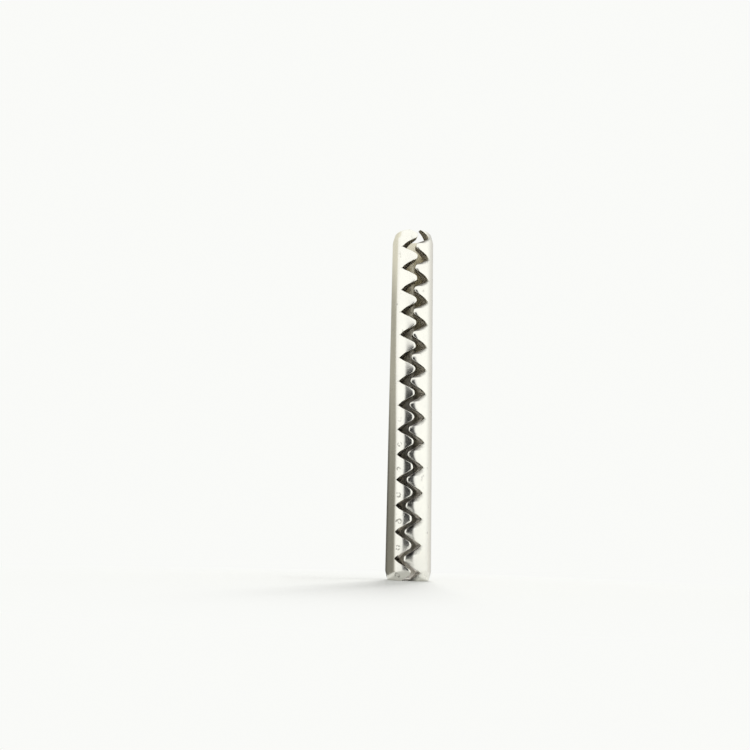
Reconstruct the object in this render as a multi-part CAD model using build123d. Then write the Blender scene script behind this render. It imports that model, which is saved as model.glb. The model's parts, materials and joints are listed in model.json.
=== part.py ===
from build123d import *
from math import asin, atan2, ceil, cos, hypot, pi, sin
import os

# A slotted spring pin with a toothed slot: one strip of spring steel with toothed edges, rolled into a
# tube. The teeth of one edge stand in the valleys of the other, so that loose pins can't hook together.
# Millimetres. The pin stands on one end along Z with its slot to the front, and the origin is below its
# middle, on the surface that it stands on. While it is cut, its middle is at the origin.

# Barrel
length = 45.0            # overall length, the nominal length
outer_diameter = 5.5     # free diameter, before the pin is pressed into its 5 mm hole
wall = 1.0               # thickness of the strip
chamfer_length = 1.05    # lead-in at each end, along the pin
chamfer_depth = 0.28     # lead-in at each end, across the wall
chamfer_blend = 0.9      # radius between the lead-in and the barrel
end_round = 0.12         # radius of the outer edge of each end face
bore_bevel = 0.1         # bevel of the bore's mouths

# Toothed edges, measured on the outside of the rolled strip
tooth_pitch = 3.08       # from one tooth to the next, along the pin
tooth_depth = 2.2        # from a valley to a tip, round the pin
tip_radius = 0.47        # round of a tooth's tip
root_rise = 0.42         # from a valley to where the tooth narrows, along the pin
root_depth = 0.6         # the same, round the pin
slot_gap = 1.6           # from a tip to the valley that faces it, round the pin, at mid-length
slot_flare = 0.8         # how much wider the slot is at the far end than at the near end
slot_drift = 0.8         # how far the slot wanders round the pin, from one end to the other

outer_radius = outer_diameter / 2
bore_radius = outer_radius - wall
half_pitch = tooth_pitch / 2
valley_arc = (tooth_depth + slot_gap) / 2    # from the middle of the slot to a valley

# What cuts the slot reaches past both faces of the wall and past both ends
cutter_inner_radius = bore_radius * 0.5
cutter_outer_radius = outer_radius * 1.3
half_pitches_each_way = ceil(length / tooth_pitch) + 1
points_per_span = 5


def rolled(flat_point, radius):
    """A point of the flat strip, (arc, along), on the rolled tube at that radius."""
    arc, along = flat_point
    angle = (arc + slot_drift * along / length) / outer_radius
    return Vector(radius * sin(angle), -radius * cos(angle), along)


def evenly(start, end):
    """Numbers from start to end, one for each point of a span."""
    return [start + (end - start) * i / (points_per_span - 1) for i in range(points_per_span)]


def tooth_side():
    """One side of a tooth, as three spans of (depth, rise) points that start at its valley.

    The root is straight, the flank is straight and touches the round of the tip, and the last span
    is the round itself, up to the tip.
    """
    centre_depth = tooth_depth - tip_radius
    across = centre_depth - root_depth
    up = half_pitch - root_rise
    flank_angle = atan2(up, across) - asin(tip_radius / hypot(across, up))
    touch_angle = flank_angle - pi / 2

    def on_tip(angle):
        return (centre_depth + tip_radius * cos(angle), half_pitch + tip_radius * sin(angle))

    touch = on_tip(touch_angle)
    root = list(zip(evenly(0, root_depth), evenly(0, root_rise)))
    flank = list(zip(evenly(root_depth, touch[0]), evenly(root_rise, touch[1])))
    tip = [on_tip(angle) for angle in evenly(touch_angle, 0)]
    return [root, flank, tip]


def slot_edge(side, radius):
    """One toothed edge of the slot as a wire at that radius; side is -1 for the left one, 1 for the right.

    The right edge has a valley at the middle of the pin's length, and the left edge has a tip there.
    The edges open out towards the far end by the flare.
    """
    edges = []
    for step in range(-half_pitches_each_way, half_pitches_each_way):
        starts_in_valley = (step % 2 == 0) == (side == 1)
        spans = tooth_side()
        if not starts_in_valley:
            spans = [span[::-1] for span in spans[::-1]]
        for span in spans:
            flat = []
            for depth, rise in span:
                along = step * half_pitch + (rise if starts_in_valley else half_pitch - rise)
                half_open = valley_arc + slot_flare / 2 * along / length
                flat.append((side * (half_open - depth), along))
            points = [rolled(point, radius) for point in flat]
            edges.append(Edge.make_spline(points, parameters=evenly(0, 1)))
    return Wire(edges)


def slot_cutter():
    """The slot as a solid: radial faces through the wall along both toothed edges, closed all round."""
    left_in, left_out = slot_edge(-1, cutter_inner_radius), slot_edge(-1, cutter_outer_radius)
    right_in, right_out = slot_edge(1, cutter_inner_radius), slot_edge(1, cutter_outer_radius)
    rings = [(left_in, left_out), (left_out, right_out), (right_out, right_in), (right_in, left_in)]
    faces = []
    for one, other in rings:
        faces += Face.make_surface_from_curves(one, other).faces()
    for end in (0, 1):
        corners = [wire @ end for wire in (left_in, left_out, right_out, right_in)]
        faces.append(Face(Wire.make_polygon(corners)))
    return Solid(Shell(faces))


def closed_tube():
    """The tube before its slot is cut: the wall's section, with its lead-ins, turned round the axis."""
    end = length / 2
    corners = [
        (bore_radius, bore_bevel - end),
        (bore_radius + bore_bevel, -end),
        (outer_radius - chamfer_depth, -end),
        (outer_radius, chamfer_length - end),
        (outer_radius, end - chamfer_length),
        (outer_radius - chamfer_depth, end),
        (bore_radius + bore_bevel, end),
        (bore_radius, end - bore_bevel),
    ]
    radii = [0, 0, end_round, chamfer_blend, chamfer_blend, end_round, 0, 0]
    section = Plane.XZ * make_face(FilletPolyline(*corners, radius=radii, close=True))
    return revolve(section, Axis.Z, 360)


spring_pin = Pos(0, 0, length / 2) * (closed_tube() - slot_cutter())

os.makedirs("parts", exist_ok=True)
export_step(spring_pin, "parts/spring_pin.step")
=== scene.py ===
# %% [markdown]
# # A slotted spring pin with a toothed slot
#
# The real pin is one strip of spring steel. A press punches teeth along both edges of the strip, rollers
# curl it into a tube, and both ends are tapered so that the pin starts easily in its hole. The CAD frame
# already holds that shape with sharp corners. This file gives it the skin of the real thing: rolled-over
# punched edges, turned lips at the ends, bright steel with the marks of its making, a white table and
# soft studio light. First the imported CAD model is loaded, because everything else is placed by it.

# %% Load the CAD frame
import json

import bpy
import numpy as np
from mathutils import Matrix, Vector


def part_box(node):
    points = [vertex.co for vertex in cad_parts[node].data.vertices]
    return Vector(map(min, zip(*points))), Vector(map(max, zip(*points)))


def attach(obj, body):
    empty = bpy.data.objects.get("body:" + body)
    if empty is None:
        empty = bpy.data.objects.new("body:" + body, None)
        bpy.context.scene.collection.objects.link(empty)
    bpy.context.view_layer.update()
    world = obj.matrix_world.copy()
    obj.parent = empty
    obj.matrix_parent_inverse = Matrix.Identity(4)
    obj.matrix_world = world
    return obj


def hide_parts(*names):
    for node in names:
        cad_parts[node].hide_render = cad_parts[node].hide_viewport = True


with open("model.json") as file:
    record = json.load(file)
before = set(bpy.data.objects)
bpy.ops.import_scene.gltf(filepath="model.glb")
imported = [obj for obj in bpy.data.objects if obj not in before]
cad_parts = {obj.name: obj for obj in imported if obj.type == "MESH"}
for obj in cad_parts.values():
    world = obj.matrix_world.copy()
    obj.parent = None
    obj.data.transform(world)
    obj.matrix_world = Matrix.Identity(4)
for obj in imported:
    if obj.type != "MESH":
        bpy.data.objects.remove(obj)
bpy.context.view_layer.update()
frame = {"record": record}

node_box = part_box("spring_pin")
MM = 0.001

# %% [markdown]
# ## Sizes of the rolled strip
#
# These are the sizes that the CAD model was made with, in millimetres, as all sizes of the pin are here.
# The pin stands on one end along Z with its slot to the front, so its middle is half a length above the
# floor, and places along the pin are counted from that middle. The overall length and diameter are read
# from the CAD box, so that the skin can't drift away from the frame.

# %% Sizes
length = (node_box[1][2] - node_box[0][2]) / MM
outer_radius = min(-node_box[0][0], node_box[1][0]) / MM
circumference = 2 * np.pi * outer_radius
wall = 1.0
bore_radius = outer_radius - wall
half_length = length / 2
middle_height = half_length
print(f"length {length:.2f} mm, outer radius {outer_radius:.3f} mm, bore radius {bore_radius:.3f} mm")

# %% [markdown]
# ## The toothed edge
#
# A punch cuts each tooth of the strip: a straight root, a straight flank and a round tip. Such an edge
# could be drawn as a curve, but here it is a function: how far the steel stands out of the valley, at a
# given distance along the pin from that valley. The function is easy to evaluate at any point of a grid,
# which is what the skin needs. The second function is its slope, which tells how slanted the edge runs.
# The flank touches the round of the tip, and that fixes the flank's angle.

# %% How one tooth stands out of its valley
tooth_pitch = 3.08
half_pitch = tooth_pitch / 2
tooth_depth = 2.2
tip_radius = 0.47
root_rise = 0.42
root_depth = 0.6
centre_depth = tooth_depth - tip_radius
flank_across = centre_depth - root_depth
flank_up = half_pitch - root_rise
flank_angle = np.arctan2(flank_up, flank_across) - np.arcsin(tip_radius / np.hypot(flank_across, flank_up))
touch_depth = centre_depth + tip_radius * np.sin(flank_angle)
touch_rise = half_pitch - tip_radius * np.cos(flank_angle)
root_slope = root_depth / root_rise
flank_slope = (touch_depth - root_depth) / (touch_rise - root_rise)
least_square = 0.001


def tooth_stand(rise):
    """Depth of the tooth at a distance from its valley: a straight line up the root, a steeper straight
    line up the flank, and then the circle of the tip, centre depth + sqrt(radius² - distance²)."""
    root = root_slope * rise
    flank = root_depth + flank_slope * (rise - root_rise)
    tip = centre_depth + np.sqrt(np.clip(tip_radius**2 - (half_pitch - rise)**2, 0, None))
    return np.where(rise < root_rise, root, np.where(rise < touch_rise, flank, tip))


def tooth_slope(rise):
    """Slope of the same three pieces: two constants, and for the circle distance / sqrt(radius² -
    distance²), where a least square under the root keeps the slope finite."""
    across = half_pitch - rise
    tip = across / np.sqrt(np.clip(tip_radius**2 - across**2, least_square, None))
    return np.where(rise < root_rise, root_slope, np.where(rise < touch_rise, flank_slope, tip))


print(f"flank slope {flank_slope:.2f}, root slope {root_slope:.2f}")

# %% [markdown]
# The two edges face each other across the slot. A tip on one side stands opposite a valley on the other,
# so the left edge is the right edge moved by half a pitch and mirrored. Rolling a long strip is never
# quite true: the slot wanders a little round the pin from one end to the other, and opens out towards the
# far end. The punch also tears the steel slightly, so each edge has a fine waver of its own, about two
# hundredths of a millimetre deep.

# %% Both edges of the slot
slot_gap = 1.6
slot_flare = 0.8
slot_drift = 0.8
mid_valley_arc = (tooth_depth + slot_gap) / 2
# A waver's depth in millimetres, and its rate in radians per millimetre along the pin
coarse_waver, coarse_rate = 0.014, 11
fine_waver, fine_rate = 0.008, 29
evening_steps = np.linspace(-0.12, 0.12, 7)


def rise_from_valley(along, side):
    """Distance to the nearest valley of one edge: a triangle wave with valleys a pitch apart. The side is
    1 for the right edge, which has a valley at mid-length, and -1 for the left one."""
    folded = half_pitch - np.abs(np.mod(along, tooth_pitch) - half_pitch)
    return folded if side > 0 else half_pitch - folded


def wander(along):
    """How far the slot has wandered round the pin: an even share of the drift along the pin."""
    return slot_drift * along / length


def valley_arc(along):
    """Arc from the middle of the slot to a valley, which grows evenly along the pin by half the flare."""
    return mid_valley_arc + slot_flare / 2 * along / length


def edge_arc(along, side):
    """Arc length from the front of the pin to the cut edge: valley arc less the tooth, plus the wander
    and the waver, which is the sum of a coarse and a fine sine."""
    coarse = coarse_waver * np.sin(coarse_rate * along + 2 * side)
    fine = fine_waver * np.sin(fine_rate * along - side)
    tooth = tooth_stand(rise_from_valley(along, side))
    return side * (valley_arc(along) - tooth) + wander(along) + coarse + fine


def edge_stretch(along, side):
    """How much longer a step across the edge is along a ring than square to the edge: sqrt(1 + slope²),
    as a mean over a short way along the pin so that the rolled-over rim has no kinks."""
    shifted = rise_from_valley(along[..., None] + evening_steps, side)
    return np.sqrt(1 + tooth_slope(shifted) ** 2).mean(axis=-1)


at_middle = [float(np.degrees(edge_arc(np.zeros(1), side) / outer_radius)[0]) for side in (1, -1)]
print(f"edges at mid-length, in degrees from the front: {at_middle[0]:.1f} and {at_middle[1]:.1f}")

# %% [markdown]
# ## Rings along the pin
#
# The skin is a grid: rings along the pin, and points round each ring. Even steps along the barrel put a
# ring on every valley and tip. At each end the outside follows the lead-in, which blends into the barrel
# with a soft curve, and turns over a small lip onto the end face. The bore's mouth has a lip of its own.
# A lathe profile would do this for a closed tube, but here each ring also carries the slot.

# %% Ring places and radii
chamfer_length = 1.05
chamfer_depth = 0.28
chamfer_blend = 0.9
end_round = 0.12
bore_lip = 0.1
lip_room = 1.3 * end_round    # kept free of the barrel's rings at each end
rings_per_half_pitch = 16
rings_per_lip = 7
taper = np.arctan2(chamfer_depth, chamfer_length)
blend_centre = chamfer_length + chamfer_blend * np.tan(taper / 2)


def outside_radius(from_end):
    """Outer radius at a distance from the end: a straight taper, an arc of the blend radius, the barrel."""
    straight = outer_radius - chamfer_depth * (1 - from_end / chamfer_length)
    before_centre = np.clip(blend_centre - from_end, 0, chamfer_blend)
    arc = outer_radius - chamfer_blend + np.sqrt(chamfer_blend**2 - before_centre**2)
    return np.where(from_end < blend_centre - chamfer_blend * np.sin(taper), straight, arc)


ring_step = half_pitch / rings_per_half_pitch
steps_each_way = int((half_length - lip_room) / ring_step)
barrel_along = np.arange(-steps_each_way, steps_each_way + 1) * ring_step
barrel_radius = outside_radius(half_length - np.abs(barrel_along))

lip_turn = np.linspace(0, 1, rings_per_lip)
outer_turn = taper + (np.pi / 2 - taper) * lip_turn
lip_centre = outer_radius - chamfer_depth + end_round * np.tan(taper) - end_round / np.cos(taper)
lip_out_from_end = end_round * (1 - np.sin(outer_turn))
lip_out_radius = lip_centre + end_round * np.cos(outer_turn)
lip_in_from_end = bore_lip * (1 - np.sin(lip_turn * np.pi / 2))
lip_in_radius = bore_radius + bore_lip * (1 - np.cos(lip_turn * np.pi / 2))


def with_ends(near_end, middle, far_end):
    """One value per ring: the near lip from the end inwards, the barrel, and the far lip outwards."""
    return np.concatenate([near_end[::-1], middle, far_end])


along_out = with_ends(lip_out_from_end - half_length, barrel_along, half_length - lip_out_from_end)
along_in = with_ends(lip_in_from_end - half_length, barrel_along, half_length - lip_in_from_end)
radius_out = with_ends(lip_out_radius, barrel_radius, lip_out_radius)
radius_in = with_ends(lip_in_radius, np.full_like(barrel_along, bore_radius), lip_in_radius)
ring_count = len(along_out)
print(f"{ring_count} rings, end face from radius {radius_in[0]:.3f} to {radius_out[0]:.3f} mm")

# %% [markdown]
# ## Points round each ring
#
# One ring goes round the whole wall: over the outside from the right edge to the left, down the left cut
# face, back along the bore, and up the right cut face. A punch doesn't leave sharp corners. It drags the
# steel over at the side where it enters, so the outer rim is a quarter of an ellipse, wider than it is
# deep, and that rim is what catches the light along every tooth. It also pushes the sides of the tips in
# a little, so that each tip is slightly domed, more so along the right edge. The bore side gets a small
# round. Two columns close behind the rim keep it crisp, and further away the columns spread out.

# %% Columns of one ring
roll_width = 0.45
roll_drop = 0.15
bore_rim = 0.05
roll_starts = 0.55
valley_share = 0.07
tip_share = 0.8
# A change as a share, and its rate in radians per millimetre along the pin
slow_change, slow_rate = 0.16, 1.9
quick_change, quick_rate = 0.1, 5.3
tip_bend = {1: 0.24, -1: 0.08}
bend_reach = 0.8
points_per_rim = 5
guard_steps = np.array([0.03, 0.1])
columns_to_back = 30
points_down_cut = 4
crowding = 1.35

rim_turn = np.linspace(np.pi / 2, 0, points_per_rim)
rim_run = 1 - np.sin(rim_turn)
rim_fall = 1 - np.cos(rim_turn)
reach = np.linspace(0, 1, columns_to_back + 1)[1:] ** crowding
still = np.zeros(len(guard_steps) + columns_to_back)


def rim_share(along, side):
    """How much of the roll-over there is: a trace in the valleys and low on the flanks, most of it at a
    tip, and rise² x (3 - 2 rise) between. Two sines make it a little uneven from tooth to tooth."""
    rise = np.clip((rise_from_valley(along, side) / half_pitch - roll_starts) / (1 - roll_starts), 0, 1)
    uneven = 1 + slow_change * np.sin(slow_rate * along + side) + quick_change * np.sin(quick_rate * along)
    return valley_share + (tip_share * uneven - valley_share) * rise * rise * (3 - 2 * rise)


def half_skin(along, side, width):
    """Arc of every column from one edge to the back of the pin, ring by ring: the edge plus the offset
    square to it, and then a growing share of what is left to the back, half way round."""
    offset = np.concatenate([width * rim_run, width + guard_steps])
    across = edge_stretch(along, side) * rim_share(along, side)
    near = (side * edge_arc(along, side))[:, None] + offset[None, :] * across[:, None]
    rest = near[:, -1:] + reach[None, :] * (circumference / 2 - near[:, -1:])
    return side * np.concatenate([near, rest], axis=1)


def both_halves(right, left):
    """The right half's columns to the back, then the left half's, with the back column shared."""
    return np.concatenate([right, left[:, -2::-1]], axis=1)


def whole_skin(along, width):
    """Arcs of a whole skin; the left half carries on past the back by a full turn."""
    return both_halves(half_skin(along, 1, width), half_skin(along, -1, width) + circumference)


def whole_fall(along):
    """How far the rim has fallen at each column, as a part of its full drop."""
    halves = [rim_share(along, side)[:, None] * np.concatenate([rim_fall, still]) for side in (1, -1)]
    return both_halves(*halves)


def past_valleys(along, side, arcs):
    """Arc of every column past the line of one edge's valleys, which wanders and opens with the slot."""
    return side * (arcs - wander(along)[:, None]) - valley_arc(along)[:, None]


def dome(along, side, arcs):
    """How far the sides of a tooth's tip are pushed in: bend x (distance along the pin from the tooth's
    middle)², fading as exp(-(arc past the tip / reach)²)."""
    past_tip = past_valleys(along, side, arcs) + tooth_depth
    from_middle = half_pitch - rise_from_valley(along, side)[:, None]
    return tip_bend[side] * from_middle**2 * np.exp(-(past_tip / bend_reach) ** 2)


fall_out = whole_fall(along_out)
fall_in = whole_fall(along_in)
arc_out = whole_skin(along_out, roll_width)
arc_in = whole_skin(along_in, bore_rim)
domed = dome(along_out, 1, arc_out) + dome(along_out, -1, arc_out - circumference)
column_count = arc_out.shape[1]
print(column_count, "columns on each skin")

# %% [markdown]
# Now the arcs become places. A point's arc divided by the outer radius is its angle from the front, and the
# steel was cut before it was rolled, so a cut face runs straight towards the axis: inside and outside
# share their angle. The two cut faces are a blend between the last outer and the last inner column.

# %% Roll the strip into a tube
down_wall = np.linspace(0, 1, points_down_cut + 2)[1:-1]


def rolled(arc, radius, along):
    """Place on the tube: x = radius sin(angle), y = -radius cos(angle), z = middle height + along."""
    angle = arc / outer_radius
    along = np.broadcast_to(along, angle.shape)
    return np.stack([radius * np.sin(angle), -radius * np.cos(angle), middle_height + along], axis=-1)


def through_wall(outer, inner):
    """Points inside the wall between outer and inner ones, as outer x (1 - share) + inner x share."""
    share = down_wall[:, None]
    return outer[..., None, :] * (1 - share) + inner[..., None, :] * share


outer_skin = rolled(arc_out, radius_out[:, None] - roll_drop * fall_out - domed, along_out[:, None])
inner_skin = rolled(arc_in, radius_in[:, None] + bore_rim * fall_in, along_in[:, None])
left_cut = through_wall(outer_skin[:, -1], inner_skin[:, -1])
right_cut = through_wall(outer_skin[:, 0], inner_skin[:, 0])
ring_points = np.concatenate([outer_skin, left_cut, inner_skin[:, ::-1], right_cut[:, ::-1]], axis=1)
points_per_ring = ring_points.shape[1]
print("skin grid:", ring_count, "x", points_per_ring)

# %% [markdown]
# The rings are joined with four-sided faces. Each end face is a second, small grid that runs from the
# outer columns to the inner ones and shares its border with the last ring, so the steel is closed all
# round, as a solid is.

# %% Faces of the skin and of both ends


def grid_faces(numbers):
    """Four corners of every cell of a grid of point numbers, in the order that faces it outwards."""
    corners = [numbers[:-1, 1:], numbers[1:, 1:], numbers[1:, :-1], numbers[:-1, :-1]]
    return np.stack(corners, axis=-1).reshape(-1, 4)


def end_face(ring, first_new):
    """Point numbers of one end face as columns x steps through the wall. Its border is the ring's own
    points, and the points inside it are new and are numbered on from the first new one."""
    own = ring * points_per_ring + np.arange(points_per_ring)
    outer, left, inner, right = np.split(own, np.cumsum([column_count, points_down_cut, column_count]))
    numbers = np.zeros((column_count, points_down_cut + 2), dtype=int)
    numbers[:, 0] = outer
    numbers[:, -1] = inner[::-1]
    numbers[-1, 1:-1] = left
    numbers[0, 1:-1] = right[::-1]
    new_shape = numbers[1:-1, 1:-1].shape
    numbers[1:-1, 1:-1] = first_new + np.arange(new_shape[0] * new_shape[1]).reshape(new_shape)
    return numbers


def enclosed(points, faces):
    """Volume inside a closed mesh: a sixth of the sum of the box products of its triangles' corners. It
    comes out below zero when the faces point inwards."""
    a, b, c, d = (points[faces[:, i]] for i in range(4))
    product = np.einsum("ij,ij->i", a, np.cross(b, c)) + np.einsum("ij,ij->i", a, np.cross(c, d))
    return product.sum() / 6


ring_numbers = np.arange(ring_count * points_per_ring).reshape(ring_count, points_per_ring)
faces = [grid_faces(np.concatenate([ring_numbers, ring_numbers[:, :1]], axis=1))]
points = [ring_points.reshape(-1, 3)]
next_number = ring_numbers.size
for ring in (0, ring_count - 1):
    end = grid_faces(end_face(ring, next_number))
    inside = through_wall(outer_skin[ring, 1:-1], inner_skin[ring, 1:-1]).reshape(-1, 3)
    faces.append(end[:, ::-1] if ring == 0 else end)
    points.append(inside)
    next_number += len(inside)
points = np.concatenate(points)
faces = np.concatenate(faces)
print(f"{len(points)} points, {len(faces)} faces, steel volume {enclosed(points, faces):.1f} mm³")

# %% [markdown]
# ## Numbers that the finish needs
#
# The mesh carries some numbers at each point that no coordinate gives. The first two are distances on the
# strip, in millimetres: from the nearest cut edge, and from the corner of the nearest valley. Each is
# measured from the right edge and from the left one in the same way, and the nearer one counts.

# %% Distances from the edges and the valleys


def gap_from_edge(along, side, arcs):
    """Distance from one cut edge, square to it: the arc past the edge over the edge's stretch."""
    past_edge = side * (arcs - edge_arc(along, side)[:, None])
    return past_edge / edge_stretch(along, side)[:, None]


def gap_from_valley(along, side, arcs):
    """Distance from the nearest valley corner, sqrt((arc past the valleys)² + (2 x step along the pin)²),
    so that equal distances are long ovals that point round the pin."""
    return np.hypot(past_valleys(along, side, arcs), 2 * rise_from_valley(along, side)[:, None])


def nearer(distance, along, arcs):
    """The smaller of one kind of distance from the right edge and from the left, for every column."""
    return np.minimum(distance(along, 1, arcs), distance(along, -1, arcs - circumference))


gap_out = nearer(gap_from_edge, along_out, arc_out)
gap_in = nearer(gap_from_edge, along_in, arc_in)
valley_out = nearer(gap_from_valley, along_out, arc_out)
valley_in = nearer(gap_from_valley, along_in, arc_in)
print(f"furthest from an edge {gap_out.max():.1f} mm, from a valley {valley_out.max():.1f} mm")

# %% [markdown]
# A painted dark reflection lies over the skin, but only along the right edge, where the rolled-over rim
# mirrors dark surroundings. Beside the flanks that face the upper end it starts at the tip of a tooth and
# sinks towards the valley above. Beside the other flanks it is a short bump below the tip, which fades out
# above the middle of the pin. A mask painted by hand would need an image, so here it is a number from 0 to
# 1 for each ring, built from straight ramps.

# %% How far the painted dark reflection reaches over the skin
# Places are shares of a pitch from one valley of the right edge to the next, with a tip at a half
above_tip_rises = (0.55, 0.65)
above_tip_sinks = (0.65, 1.0)
left_at_valley = 0.4
below_tip_rises = (0.15, 0.35)
below_tip_ends = (0.48, 0.40)
below_tip_share = 0.6
lower_half_fades = (9.0, 0.0)


def ramp(amount, start, end):
    """0 up to the start, 1 from the end on, and a straight line between."""
    return np.clip((amount - start) / (end - start), 0, 1)


def dark_reflection_of(along):
    """Painted dark reflection for every column of a skin: the ramps above the tip, plus those below it
    times a ramp along the pin, and 0 for the columns of the left half."""
    climbed = np.mod(along, tooth_pitch) / tooth_pitch
    above_tip = ramp(climbed, *above_tip_rises) * (1 - (1 - left_at_valley) * ramp(climbed, *above_tip_sinks))
    below_tip = below_tip_share * ramp(climbed, *below_tip_rises) * ramp(climbed, *below_tip_ends)
    beside = above_tip + below_tip * ramp(along, *lower_half_fades)
    right_columns = np.arange(column_count) < column_count // 2
    return beside[:, None] * right_columns[None, :]


dark_reflection_out = dark_reflection_of(along_out)
# The printed share is that of the painted dark reflection along the right edge
print(f"oil has crept out along {100 * (dark_reflection_out[:, 0] > 0).mean():.0f} % of the right edge")

# %% [markdown]
# Now the points, the faces and these numbers become one mesh. The attribute edge_gap is the distance from
# an edge, valley_gap the distance from a valley, a third attribute holds the painted dark reflection on the
# skin, and cut_depth tells the surfaces apart: it is 0 on the outside, grows down the cut faces and is 1 in
# the bore. The few points inside the end faces get fixed values: far from both, half way through the wall,
# and no painted reflection.

# %% Put the skin into a mesh


def all_round(outside, left_face, bore, right_face):
    """One number for every point of every ring, from those of its four parts in the order of its points.
    A single number or column fills the whole of its part."""
    outside, bore = (np.broadcast_to(part, (ring_count, column_count)) for part in (outside, bore))
    faces_shape = (ring_count, points_down_cut)
    left_face, right_face = (np.broadcast_to(part, faces_shape) for part in (left_face, right_face))
    return np.concatenate([outside, left_face, bore[:, ::-1], right_face], axis=1)


far_away = 3.0
half_way = 0.5
carried = {
    "edge_gap": (all_round(gap_out, 0, gap_in, 0), far_away),
    "cut_depth": (all_round(0, down_wall, 1, 1 - down_wall), half_way),
    "valley_gap": (all_round(valley_out, valley_out[:, -1:], valley_in, valley_out[:, :1]), far_away),
    "painted_reflection": (all_round(dark_reflection_out, 0, 0, 0), 0),
}
pin_mesh = bpy.data.meshes.new("pin_skin")
pin_mesh.from_pydata((points * MM).tolist(), [], faces.tolist())
pin_mesh.polygons.foreach_set("use_smooth", np.ones(len(faces), dtype=bool))
for name, (on_rings, on_end_faces) in carried.items():
    layer = pin_mesh.attributes.new(name, "FLOAT", "POINT")
    values = np.full(len(points), on_end_faces, dtype=np.float32)
    values[:on_rings.size] = on_rings.ravel()
    layer.data.foreach_set("value", values)
pin_mesh.update()
pin_mesh.validate()
pin = bpy.data.objects.new("pin_skin", pin_mesh)
bpy.context.scene.collection.objects.link(pin)
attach(pin, "root")
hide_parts("spring_pin")
print("triangles:", 2 * len(pin_mesh.polygons))

# %% [markdown]
# ## A small language for finishes
#
# A procedural finish is arithmetic on patterns. Blender does it with nodes, and wiring dozens of Math
# nodes by hand hides the idea, so the first class below wraps a socket and lets Python's own signs add
# the nodes. Any kind of node comes from one method of the second class, which takes its type, its
# settings and the values or links of its sockets.

# %% Sockets that can be added and multiplied


class Value:
    """What comes out of a node of a finish; on numbers, + - and * add Math nodes."""

    def __init__(self, finish, socket):
        self.finish = finish
        self.socket = socket

    def joined(self, operation, first, second):
        """A Math node of two numbers, each a Value or a constant."""
        node = self.finish.node("ShaderNodeMath", {"operation": operation}, {0: first, 1: second})
        return self.finish.value(node, 0)

    def __add__(self, other):
        return self.joined("ADD", self, other)

    def __sub__(self, other):
        return self.joined("SUBTRACT", self, other)

    def __rsub__(self, other):
        return self.joined("SUBTRACT", other, self)

    def __mul__(self, other):
        return self.joined("MULTIPLY", self, other)

    __radd__ = __add__
    __rmul__ = __mul__


class Finish:
    """A material or a world under construction; node() adds any node and wires its sockets."""

    def __init__(self, owner):
        owner.use_nodes = True
        self.owner = owner
        self.tree = owner.node_tree
        self.tree.nodes.clear()

    def node(self, kind, settings=None, sockets=None):
        """A node of a kind: first its settings, then its sockets, each by its name or its number."""
        made = self.tree.nodes.new(kind)
        for name, setting in (settings or {}).items():
            setattr(made, name, setting)
        for name, item in (sockets or {}).items():
            if isinstance(item, Value):
                self.tree.links.new(item.socket, made.inputs[name])
            else:
                made.inputs[name].default_value = item
        return made

    def value(self, node, name):
        """One output of a node, by its name or its number."""
        return Value(self, node.outputs[name])

    def close(self, shader, output="ShaderNodeOutputMaterial"):
        """Wire a shader to the output and hand the material or the world over."""
        self.node(output, sockets={"Surface": self.value(shader, 0)})
        return self.owner


print("signs that a Value understands: + - *")

# %% [markdown]
# Some kinds of node are wanted again and again, so each gets a short function: coordinates, noise, smooth
# steps, blends. Coordinates come in metres, and a scale of 1000 turns them into millimetres. A Mix node
# has a set of sockets for each type of data: those for two colours are 6 and 7, and their mix is output 2.

# %% Helpers for patterns and blends
in_millimetres = (1 / MM, 1 / MM, 1 / MM)
noise_roughness = 0.55


def placed(finish, scale=(1, 1, 1), turn=(0, 0, 0)):
    """Object coordinates, stretched and turned by a Mapping node."""
    place = finish.value(finish.node("ShaderNodeTexCoord"), "Object")
    sockets = {"Vector": place, "Scale": scale, "Rotation": turn}
    return finish.value(finish.node("ShaderNodeMapping", sockets=sockets), "Vector")


def attribute(finish, name):
    """A number that the mesh carries at its points."""
    return finish.value(finish.node("ShaderNodeAttribute", {"attribute_name": name}), "Fac")


def axes(place):
    """The three coordinates of a place."""
    parts = place.finish.node("ShaderNodeSeparateXYZ", sockets={"Vector": place})
    return [place.finish.value(parts, name) for name in "XYZ"]


def noise(place, scale, detail):
    """Cloudy noise between 0 and 1 at a place."""
    sockets = {"Vector": place, "Scale": scale, "Detail": detail, "Roughness": noise_roughness}
    return place.finish.value(place.finish.node("ShaderNodeTexNoise", sockets=sockets), "Fac")


def between(amount, start, end):
    """0 up to the start, 1 from the end on, and a smooth slope between; it may also run downwards."""
    settings = {"interpolation_type": "SMOOTHSTEP"}
    sockets = {"Value": amount, "From Min": start, "From Max": end}
    return amount.finish.value(amount.finish.node("ShaderNodeMapRange", settings, sockets), "Result")


def blend(amount, colour, other):
    """One colour into another, by an amount from 0 to 1."""
    sockets = {0: amount, 6: colour, 7: other}
    return amount.finish.value(amount.finish.node("ShaderNodeMix", {"data_type": "RGBA"}, sockets), 2)


print("scale of the coordinates:", in_millimetres)

# %% [markdown]
# ## Bright spring steel
#
# The strip is cold rolled, hardened and tumbled bright. Up close it isn't a mirror: the rolls leave faint
# lines along the strip, tumbling leaves a fine haze and a few short scratches, and the colour shifts a
# little between warm and grey. All of that is noise, and only the stretch of its coordinates differs:
# even for clouds and haze, long along the pin for the drawn lines, long through the wall for the streaks
# of the punch, and slanted for the scratches.

# %% Noises of the steel
# Clouds and haze are in patches per millimetre, and the stretches in patches per metre on each axis
cloud_scale = 0.55
haze_scale = 3.2
line_stretch = (9000, 9000, 260)
streak_stretch = (3200, 600, 3200)
scratch_stretch = (1600, 1600, 1000)
scratch_turn = (0.35, 0.0, 0.5)
scratch_levels = (0.645, 0.75)

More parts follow.
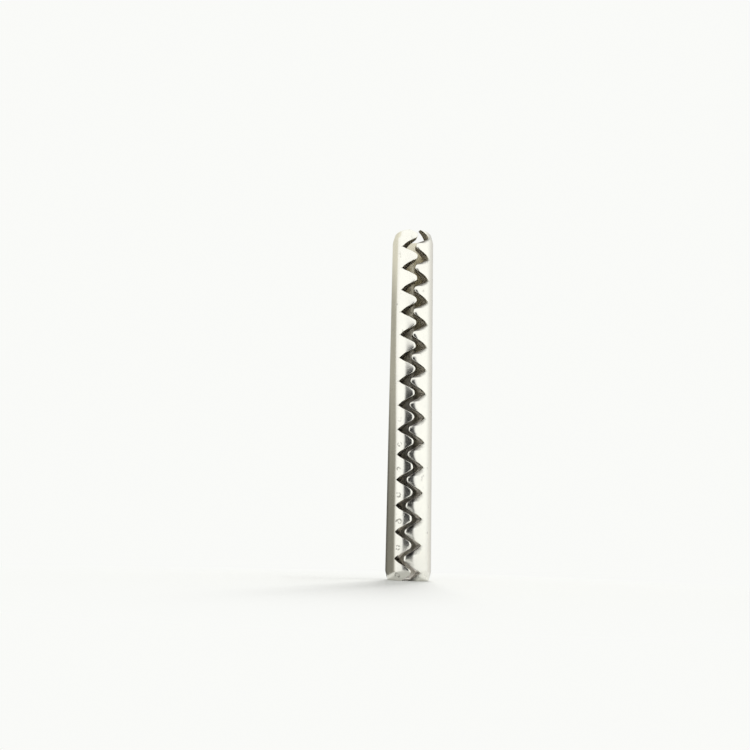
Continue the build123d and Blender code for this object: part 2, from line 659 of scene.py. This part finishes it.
steel = Finish(bpy.data.materials.new("bright_spring_steel"))
even = placed(steel, in_millimetres)
x, y, height = axes(even)
clouds = noise(even, cloud_scale, detail=4.0)
haze = noise(even, haze_scale, detail=5.0)
lines = noise(placed(steel, line_stretch), 1.0, detail=2.0)
streaks = noise(placed(steel, streak_stretch), 1.0, detail=2.0)
scratches = noise(placed(steel, scratch_stretch, scratch_turn), 1.0, detail=2.5)
nicks = between(scratches, *scratch_levels)
print(len(steel.tree.nodes), "nodes for the noises")

# %% [markdown]
# A punched face is different from the skin. Its upper third is burnished by the punch, and below that the
# steel broke, so it is rougher, streaked and darker. The bore was never polished. Masks from 0 to 1 tell
# these places apart, by the numbers that the mesh carries.

# %% Masks of the cut faces, the bore and the skin
gap = attribute(steel, "edge_gap")
depth = attribute(steel, "cut_depth")
on_cut = between(gap, 0.02, 0.0)
broken = on_cut * between(depth, 0.25, 0.45)
in_bore = between(depth, 0.9, 1.0)
on_skin = 1 - between(depth, 0.0, 0.1)
to_right = between(x, -0.8, 0.8)
browned = between(height, 8.0, 40.0)
scratched = nicks * on_skin
print(len(steel.tree.nodes), "nodes up to the masks")

# %% [markdown]
# The corners of the valleys get painted shade, more on the left edge than on the right, and the skin
# along the right edge gets its painted dark reflection. The border of each follows the distance from the
# valley or from the edge. Noise is added to that distance, so that the border is ragged.

# %% Painted shade in the valleys and painted dark reflection along the edge
shade_border = (0.64, 0.36)
shade_ragged = 0.4
shorter_on_skin = 0.4
fainter_on_skin = 0.6
fainter_on_right = 0.65
reflection_reach = 0.68
reflection_border = (0.0, -0.52)
reflection_ragged = 0.3
shorter_up_pin = 0.5

from_valley = (attribute(steel, "valley_gap") + shade_ragged * haze) * (1 + shorter_on_skin * on_skin)
shade_strength = (1 - fainter_on_skin * on_skin) * (1 - fainter_on_right * to_right)
# Painted shade in the valley corners, fainter on the skin and along the right edge
painted_darkness = between(from_valley, *shade_border) * shade_strength
crept = attribute(steel, "painted_reflection")
ragged_gap = gap * (1 + shorter_up_pin * browned) + reflection_ragged * (clouds + haze - 1)
# Painted dark reflection over the skin beside the right edge
dark_reflection = between(crept, 0.0, 0.3) * on_skin * between(ragged_gap - reflection_reach * crept, *reflection_border)
print(f"oil reaches up to {reflection_reach} mm over the skin")

# %% [markdown]
# Some tool left a row of small curved marks on the left-hand teeth of the lower half, one for each tooth.
# Each is part of a ring. Folding the height back and forth every half pitch gives the distance along the
# pin from the nearest tooth, and the ring lies where that distance squared and the distance sideways
# squared have the right sum. The haze keeps a different part of each ring.

# %% A row of small curved marks
marks_x = -1.45
marks_below_tip = 0.3
marks_wander = 1.2
ring_ends = (0.13, 0.07)
ring_starts = (0.005, 0.04)
kept_haze = (0.43, 0.54)
marked_heights = (21.0, 15.0)

sideways = x - marks_x + marks_wander * (clouds - 0.5)
climb = height - middle_height + marks_below_tip
fold = steel.node("ShaderNodeMath", {"operation": "PINGPONG"}, {0: climb, 1: half_pitch})
from_tooth = steel.value(fold, 0)
squared = sideways * sideways + from_tooth * from_tooth
rings = between(squared, *ring_ends) * between(squared, *ring_starts) * between(haze, *kept_haze)
tool_marks = rings * between(height, *marked_heights) * between(y, 0.0, -1.0) * on_skin
print(f"tool marks {tooth_pitch} mm apart, up to {marked_heights[0]} mm above the foot")

# %% [markdown]
# The colour is laid down in layers: the steel of the record, warmer or greyer by the clouds, then the
# scratches and tool marks, the broken faces, the bore, and on top painted shade in the valleys and a
# painted dark reflection along the right edge. The left face is much darker than the right one, and that
# difference is painted shade. The right face and the bore grow browner towards the upper end.

# %% Colour of the steel
steel_slot = next(m for m in frame["record"]["materials"] if m["slot"] == "steel")
steel_colour = steel_slot["base_color"]
warm_factors = (1.02, 1.0149, 0.9894)
grey_factors = (0.93, 0.93, 0.93)
# The left face's dark tone is painted shade; the right face's lighter tone is its lit side
left_face_shade = (0.30, 0.275, 0.23, 1.0)
right_tone = blend(browned, (0.90, 0.87, 0.82, 1.0), (0.42, 0.38, 0.29, 1.0))
bore_tone = blend(browned, (0.74, 0.71, 0.65, 1.0), (0.58, 0.54, 0.42, 1.0))


def tinted(colour, factors):
    """A colour with each channel multiplied by its own factor, and full alpha."""
    return [channel * factor for channel, factor in zip(colour, factors)] + [1.0]


# Each layer has a mask, how strongly it covers there, and its colour
layers = [
    (scratched, 0.4, (0.36, 0.35, 0.32, 1.0)),
    (tool_marks, 0.8, (0.22, 0.21, 0.18, 1.0)),
    # Broken faces: darker on the left by painted shade
    (broken, 0.7 + 0.4 * streaks, blend(to_right, left_face_shade, right_tone)),
    (in_bore, 0.8, bore_tone),
    # Painted shade in the valley corners
    (painted_darkness, 0.85, (0.10, 0.085, 0.065, 1.0)),
    # Painted dark reflection along the right edge
    (dark_reflection, 0.92, (0.11, 0.10, 0.09, 1.0)),
]
colour = blend(clouds, tinted(steel_colour, warm_factors), tinted(steel_colour, grey_factors))
for mask, cover, layer_colour in layers:
    colour = blend(mask * cover, colour, layer_colour)
print(len(layers), "layers over the record's colour", steel_colour)

# %% [markdown]
# Steel mirrors its surroundings, so its roughness matters as much as its colour. It is lowest on the
# tumbled skin and highest on the broken steel of the right face. The drawn lines, the haze, the scratches
# and the streaks are also a very low relief, which a Bump node turns into slopes. Both are sums of
# patterns, each with a weight.

# %% Roughness and relief of the steel
smoothest = 0.13
roughness_weights = [(haze, 0.08), (clouds, 0.05), (broken, 0.26), (broken * to_right, 0.3),
                     (in_bore, 0.14), (scratched, 0.2)]
relief_weights = [(lines * (1 - broken), 0.5), (haze, 0.35), (scratched, -1.2), (broken * streaks, 1.2)]
relief_depth = 0.0000022


def weighed(start, weights):
    """The start plus each pattern times its weight."""
    return start + sum(pattern * weight for pattern, weight in weights)


bump = steel.node("ShaderNodeBump", sockets={"Height": weighed(0, relief_weights), "Distance": relief_depth})
shader = steel.node("ShaderNodeBsdfPrincipled", sockets={
    "Base Color": colour,
    "Metallic": 1.0,
    "Roughness": weighed(smoothest, roughness_weights),
    "Normal": steel.value(bump, "Normal"),
})
pin_mesh.materials.append(steel.close(shader))
print(len(steel.tree.nodes), "nodes in the steel")

# %% [markdown]
# ## White table
#
# The pin stands on a plain white surface. It is one large flat sheet that isn't part of the object, with a
# trace of unevenness in its tone so that it doesn't look drawn. It receives the pin's soft shadow, and
# further away it passes into the white of the backdrop, so that no line shows where the table ends.

# %% Table
backdrop_white = (0.993, 1.0, 0.977, 1.0)
seen_level = 0.96
table_tones = [(0.915, 0.918, 0.90, 1.0), (0.93, 0.933, 0.915, 1.0)]
table_cloudiness = 14.0
fade_range = (0.012, 0.06)
table_half = 1.2
table_corners = [(-table_half, -table_half, 0), (table_half, -table_half, 0),
                 (table_half, table_half, 0), (-table_half, table_half, 0)]
table_mesh = bpy.data.meshes.new("table")
table_mesh.from_pydata(table_corners, [], [(0, 1, 2, 3)])
table = bpy.data.objects.new("table", table_mesh)
bpy.context.scene.collection.objects.link(table)


def table_finish():
    """Matt white with a very faint cloudy tone that, far from the pin, passes into the backdrop's own
    white for the camera."""
    white = Finish(bpy.data.materials.new("white_table"))
    place = placed(white)
    matt = white.node("ShaderNodeBsdfPrincipled", sockets={
        "Base Color": blend(noise(place, table_cloudiness, detail=3.0), *table_tones),
        "Roughness": 0.7,
        "Specular IOR Level": 0.2,
    })
    plain = white.node("ShaderNodeEmission", sockets={"Color": backdrop_white, "Strength": seen_level})
    from_pin = white.node("ShaderNodeVectorMath", {"operation": "LENGTH"}, {"Vector": place})
    far = between(white.value(from_pin, "Value"), *fade_range)
    seen = white.value(white.node("ShaderNodeLightPath"), "Is Camera Ray")
    sockets = {"Fac": far * seen, 1: white.value(matt, 0), 2: white.value(plain, 0)}
    return white.close(white.node("ShaderNodeMixShader", sockets=sockets))


table_mesh.materials.append(table_finish())
print("table", 2 * table_half, "m square")

# %% [markdown]
# ## Light
#
# Polished metal shows what surrounds it more than its own colour. The photograph was taken from close by
# in a bright white room: most of the pin mirrors the white room behind the camera, and its sides mirror
# the slightly greyer surface behind the pin. So the room is a white world that is brightest in front and
# above. Seen directly it is the same pale white as the table, which hides where the table ends.

# %% White room
back_level = 0.90
front_level = 1.2
matt_level = 0.63
front_range = (0.45, -0.1)


def white_room():
    """World: one level seen directly, one for matt surfaces, which also get the panel's light, and for
    reflections a level that grows from back to front."""
    room = Finish(bpy.data.worlds.new("white_room"))
    direction = room.value(room.node("ShaderNodeTexCoord"), "Generated")
    front = between(axes(direction)[1], *front_range)
    light_path = room.node("ShaderNodeLightPath")
    seen = room.value(light_path, "Is Camera Ray")
    mirrored = room.value(light_path, "Is Glossy Ray")
    level = back_level + (front_level - back_level) * front
    unseen = mirrored * level + (1 - mirrored) * matt_level
    strength = seen * seen_level + (1 - seen) * unseen
    sockets = {"Color": backdrop_white, "Strength": strength}
    return room.close(room.node("ShaderNodeBackground", sockets=sockets), "ShaderNodeOutputWorld")


bpy.context.scene.world = white_room()
print("room levels:", seen_level, matt_level, back_level, front_level)

# %% [markdown]
# A room as even as that would let the pin float. A soft panel behind and above it adds the direction: it
# draws the pin's shadow forward over the table. The power of a square panel is its radiance times its area
# times pi. The panel itself isn't mirrored in the steel.

# %% Panel behind and above
panel_place = Vector((0.3, 1.44, 1.44))
panel_target = Vector((0, 0, 0.01))
panel_size = 0.55
panel_radiance = 26.4

lamp = bpy.data.lights.new("back_panel", "AREA")
lamp.shape = "SQUARE"
lamp.size = panel_size
lamp.energy = panel_radiance * panel_size * panel_size * np.pi
panel = bpy.data.objects.new("back_panel", lamp)
bpy.context.scene.collection.objects.link(panel)
facing = (panel_target - panel_place).to_track_quat("-Z", "Y")
panel.matrix_world = Matrix.Translation(panel_place) @ facing.to_matrix().to_4x4()
panel.visible_glossy = False
panel.visible_camera = False
print("panel power in watts:", round(lamp.energy, 4))

# %% [markdown]
# In the photograph the pin lies on the table and the camera looks down on it. Here the pin stands, because
# a round pin that lies down would roll away, and what the photograph fixes is given in its own frame: the
# pin lying along Y, slot up. One matrix stands that frame on its end, and the cards and the camera use it.
# The cards complete the room, and show in reflections only.

# %% From lying to standing
upright = Matrix.Translation((0, 0, middle_height * MM)) @ Matrix.Rotation(np.pi / 2, 4, "X")
stand = upright @ Matrix.Translation((0, 0, -outer_radius * MM))


def card(name, corners, finish):
    """A flat card that only mirror-like surfaces see, given as it is round the lying pin."""
    mesh = bpy.data.meshes.new(name)
    mesh.from_pydata([stand @ (Vector(corner) * MM) for corner in corners], [], [(0, 1, 2, 3)])
    mesh.materials.append(finish)
    made = bpy.data.objects.new(name, mesh)
    bpy.context.scene.collection.objects.link(made)
    made.visible_camera = False
    made.visible_diffuse = False
    made.visible_shadow = False
    made.visible_transmission = False
    print(name, "placed")


def glow(finish, level, tinge=(1.0, 1.0, 1.0)):
    """Close a finish with light of its own: a tinge times a level, which may vary, and nothing else."""
    sockets = {"Scale": level, "Vector": tinge}
    colour = finish.node("ShaderNodeVectorMath", {"operation": "SCALE"}, sockets)
    return finish.close(finish.node("ShaderNodeEmission", sockets={"Color": finish.value(colour, "Vector")}))


far_top = stand @ (Vector((0, half_length, 2 * outer_radius)) * MM)
print("the lying pin's far end, at the top, now stands at", [round(v / MM, 2) for v in far_top])

# %% [markdown]
# The camera's own dark body shows in the tops of the teeth on the near half, so a dark card stands where
# the camera is. It passes softly into the white of the room at its left, right and far edges, because a
# hard edge of it would be drawn as a line in the steel.

# %% The camera's body
body_height = 92.0
body_left, body_right, body_near, body_far = -63.0, 33.0, -22.0, 38.0
soft_edge = 10.0
room_level = 1.15
body_level = 0.028


def camera_body():
    """The room's level, less its difference from the body's times a soft step in from three edges."""
    body = Finish(bpy.data.materials.new("camera_body"))
    x, _, height = axes(placed(body, in_millimetres))
    top = body_far + half_length
    inside = between(x, body_left, body_left + soft_edge) * between(x, body_right, body_right - soft_edge)
    inside = inside * between(height, top, top - soft_edge)
    return glow(body, room_level - (room_level - body_level) * inside)


card("camera_card", [
    (body_left, body_near, body_height),
    (body_right, body_near, body_height),
    (body_right, body_far, body_height),
    (body_left, body_far, body_height),
], camera_body())

# %% [markdown]
# The sides of the barrel mirror what the pin lay on, given here as a painted reflection on glowing cards:
# pale on the right, shaded on the left, where a low dark olive strip stands for a neighbouring pin, close
# to the pin at the near end and further away at the far end. Right beside the pin the near half of that
# surface is darkest with painted shadow, and draws the dark line down the pin's left side. The surface
# passes behind the pin, so that no edge of it shows in the steel from the back.

# %% The surface that the pin lay on
near_y, far_y = -24.0, 38.0
strip_near_x, strip_far_x, ground_right_x = -3.8, -15.2, 14.0
strip_height = 6.5

# Light levels, and in brackets the start and the end of the smooth step that brings each in
left_level = 0.231
left_lightens = [(0.198, (6.0, 28.0)), (0.33, (35.0, 46.0)), (0.2, (46.0, 58.0))]
shadow_darkening, beside_pin, near_half = 0.591, (5.0, 0.6), (28.0, 16.0)
border_height, border_softness = 5.5, (-0.7, 0.5)
border_sinks, sinks_over = 2.3, (15.0, 38.0)
level_above_border = 1.12
left_to_right = (-2.6, 2.6)
right_level = 0.68
right_lightens, away_from_pin = 0.22, (2.0, 12.0)
olive, cool_white, warm_white = (1.0, 0.97, 0.83, 1.0), (1.0, 1.0, 0.98, 1.0), (1.0, 0.985, 0.95, 1.0)


def surface_below():
    """Painted reflection of the surface the pin lay on. The left side lightens with height in three steps
    and is darkened by painted shadow beside the pin's near half. Above a border that sinks towards the far
    end, it gives way to the white of the room. The right side is lighter, the more so away from the pin, and
    its darker tone near the pin is painted shadow. Height is the standing pin's: the near end is low."""
    below = Finish(bpy.data.materials.new("surface_below"))
    x, y, height = axes(placed(below, in_millimetres))
    above_table = outer_radius - y
    shade = left_level + sum(lighter * between(height, *over) for lighter, over in left_lightens)
    beside = between(above_table - x - outer_radius, *beside_pin) * between(height, *near_half)
    # Painted shadow beside the pin's near half
    shade = shade * (1 - shadow_darkening * beside)
    border = border_height - border_sinks * between(height, *sinks_over)
    clear = between(above_table - border, *border_softness)
    shade = shade + clear * (level_above_border - shade)
    to_right = between(x, *left_to_right)
    pale = right_level + right_lightens * between(x, *away_from_pin)
    tinge = blend(to_right, blend(clear, olive, cool_white), warm_white)
    return glow(below, shade + to_right * (pale - shade), tinge)


surroundings = surface_below()
card("left_strip", [
    (strip_near_x, near_y, 0),
    (strip_far_x, far_y, 0),
    (strip_far_x, far_y, strip_height),
    (strip_near_x, near_y, strip_height),
], surroundings)
card("ground", [
    (strip_far_x, near_y, 0),
    (ground_right_x, near_y, 0),
    (ground_right_x, far_y, 0),
    (strip_far_x, far_y, 0),
], surroundings)

# %% [markdown]
# A small white card just inside the foot lights the bore from its near end, as the white room did.

# %% Light in the mouth of the bore
mouth_half = 1.6
mouth_level = 1.1
mouth_lift = 0.01
mouth_y = mouth_lift - half_length
mouth_low, mouth_high = outer_radius - mouth_half, outer_radius + mouth_half
card("mouth_card", [
    (-mouth_half, mouth_y, mouth_low),
    (mouth_half, mouth_y, mouth_low),
    (mouth_half, mouth_y, mouth_high),
    (-mouth_half, mouth_y, mouth_high),
], glow(Finish(bpy.data.materials.new("mouth_light")), mouth_level))

# %% [markdown]
# ## Camera
#
# The view was worked out from the photograph: the pin's own teeth, whose spacing shrinks with distance,
# fix how far away the camera was and how steeply it looked down. In the photograph's frame the camera
# looks down at 75 degrees. The pin lies a little to the right of it, turned by less than two degrees, and
# its slot leans two degrees to one side. The camera is moved into the lying pin's frame, and then stood
# up with it.

# %% Camera in the pin's frame
camera_above_table = 87.91
camera_pitch = np.radians(75.0)
pin_middle = Vector((4.574, 19.842, 0))
pin_heading = 0.02807
slot_lean = np.radians(2.0)
focal_length = 32.69
sensor_width = 36.0

rightwards = Vector((1, 0, 0))
upwards = Vector((0, np.sin(camera_pitch), np.cos(camera_pitch)))
backwards = Vector((0, -np.cos(camera_pitch), np.sin(camera_pitch)))
in_photo = Matrix((rightwards, upwards, backwards)).transposed().to_4x4()
in_photo.translation = (0, 0, camera_above_table * MM)
to_middle = Matrix.Translation(-pin_middle * MM)
turn = Matrix.Rotation(pin_heading, 4, "Z")
axis = Matrix.Translation((0, 0, outer_radius * MM))
lean = axis @ Matrix.Rotation(-slot_lean, 4, "Y") @ axis.inverted()

camera_data = bpy.data.cameras.new("camera")
camera_data.lens = focal_length
camera_data.sensor_width = sensor_width
camera_data.clip_start = 0.002
camera_data.clip_end = 20
camera = bpy.data.objects.new("camera", camera_data)
bpy.context.scene.collection.objects.link(camera)
camera.matrix_world = stand @ lean @ turn @ to_middle @ in_photo
bpy.context.scene.camera = camera
bpy.context.scene.view_settings.view_transform = "Standard"
print("camera at", [round(v / MM, 2) for v in camera.matrix_world.translation])
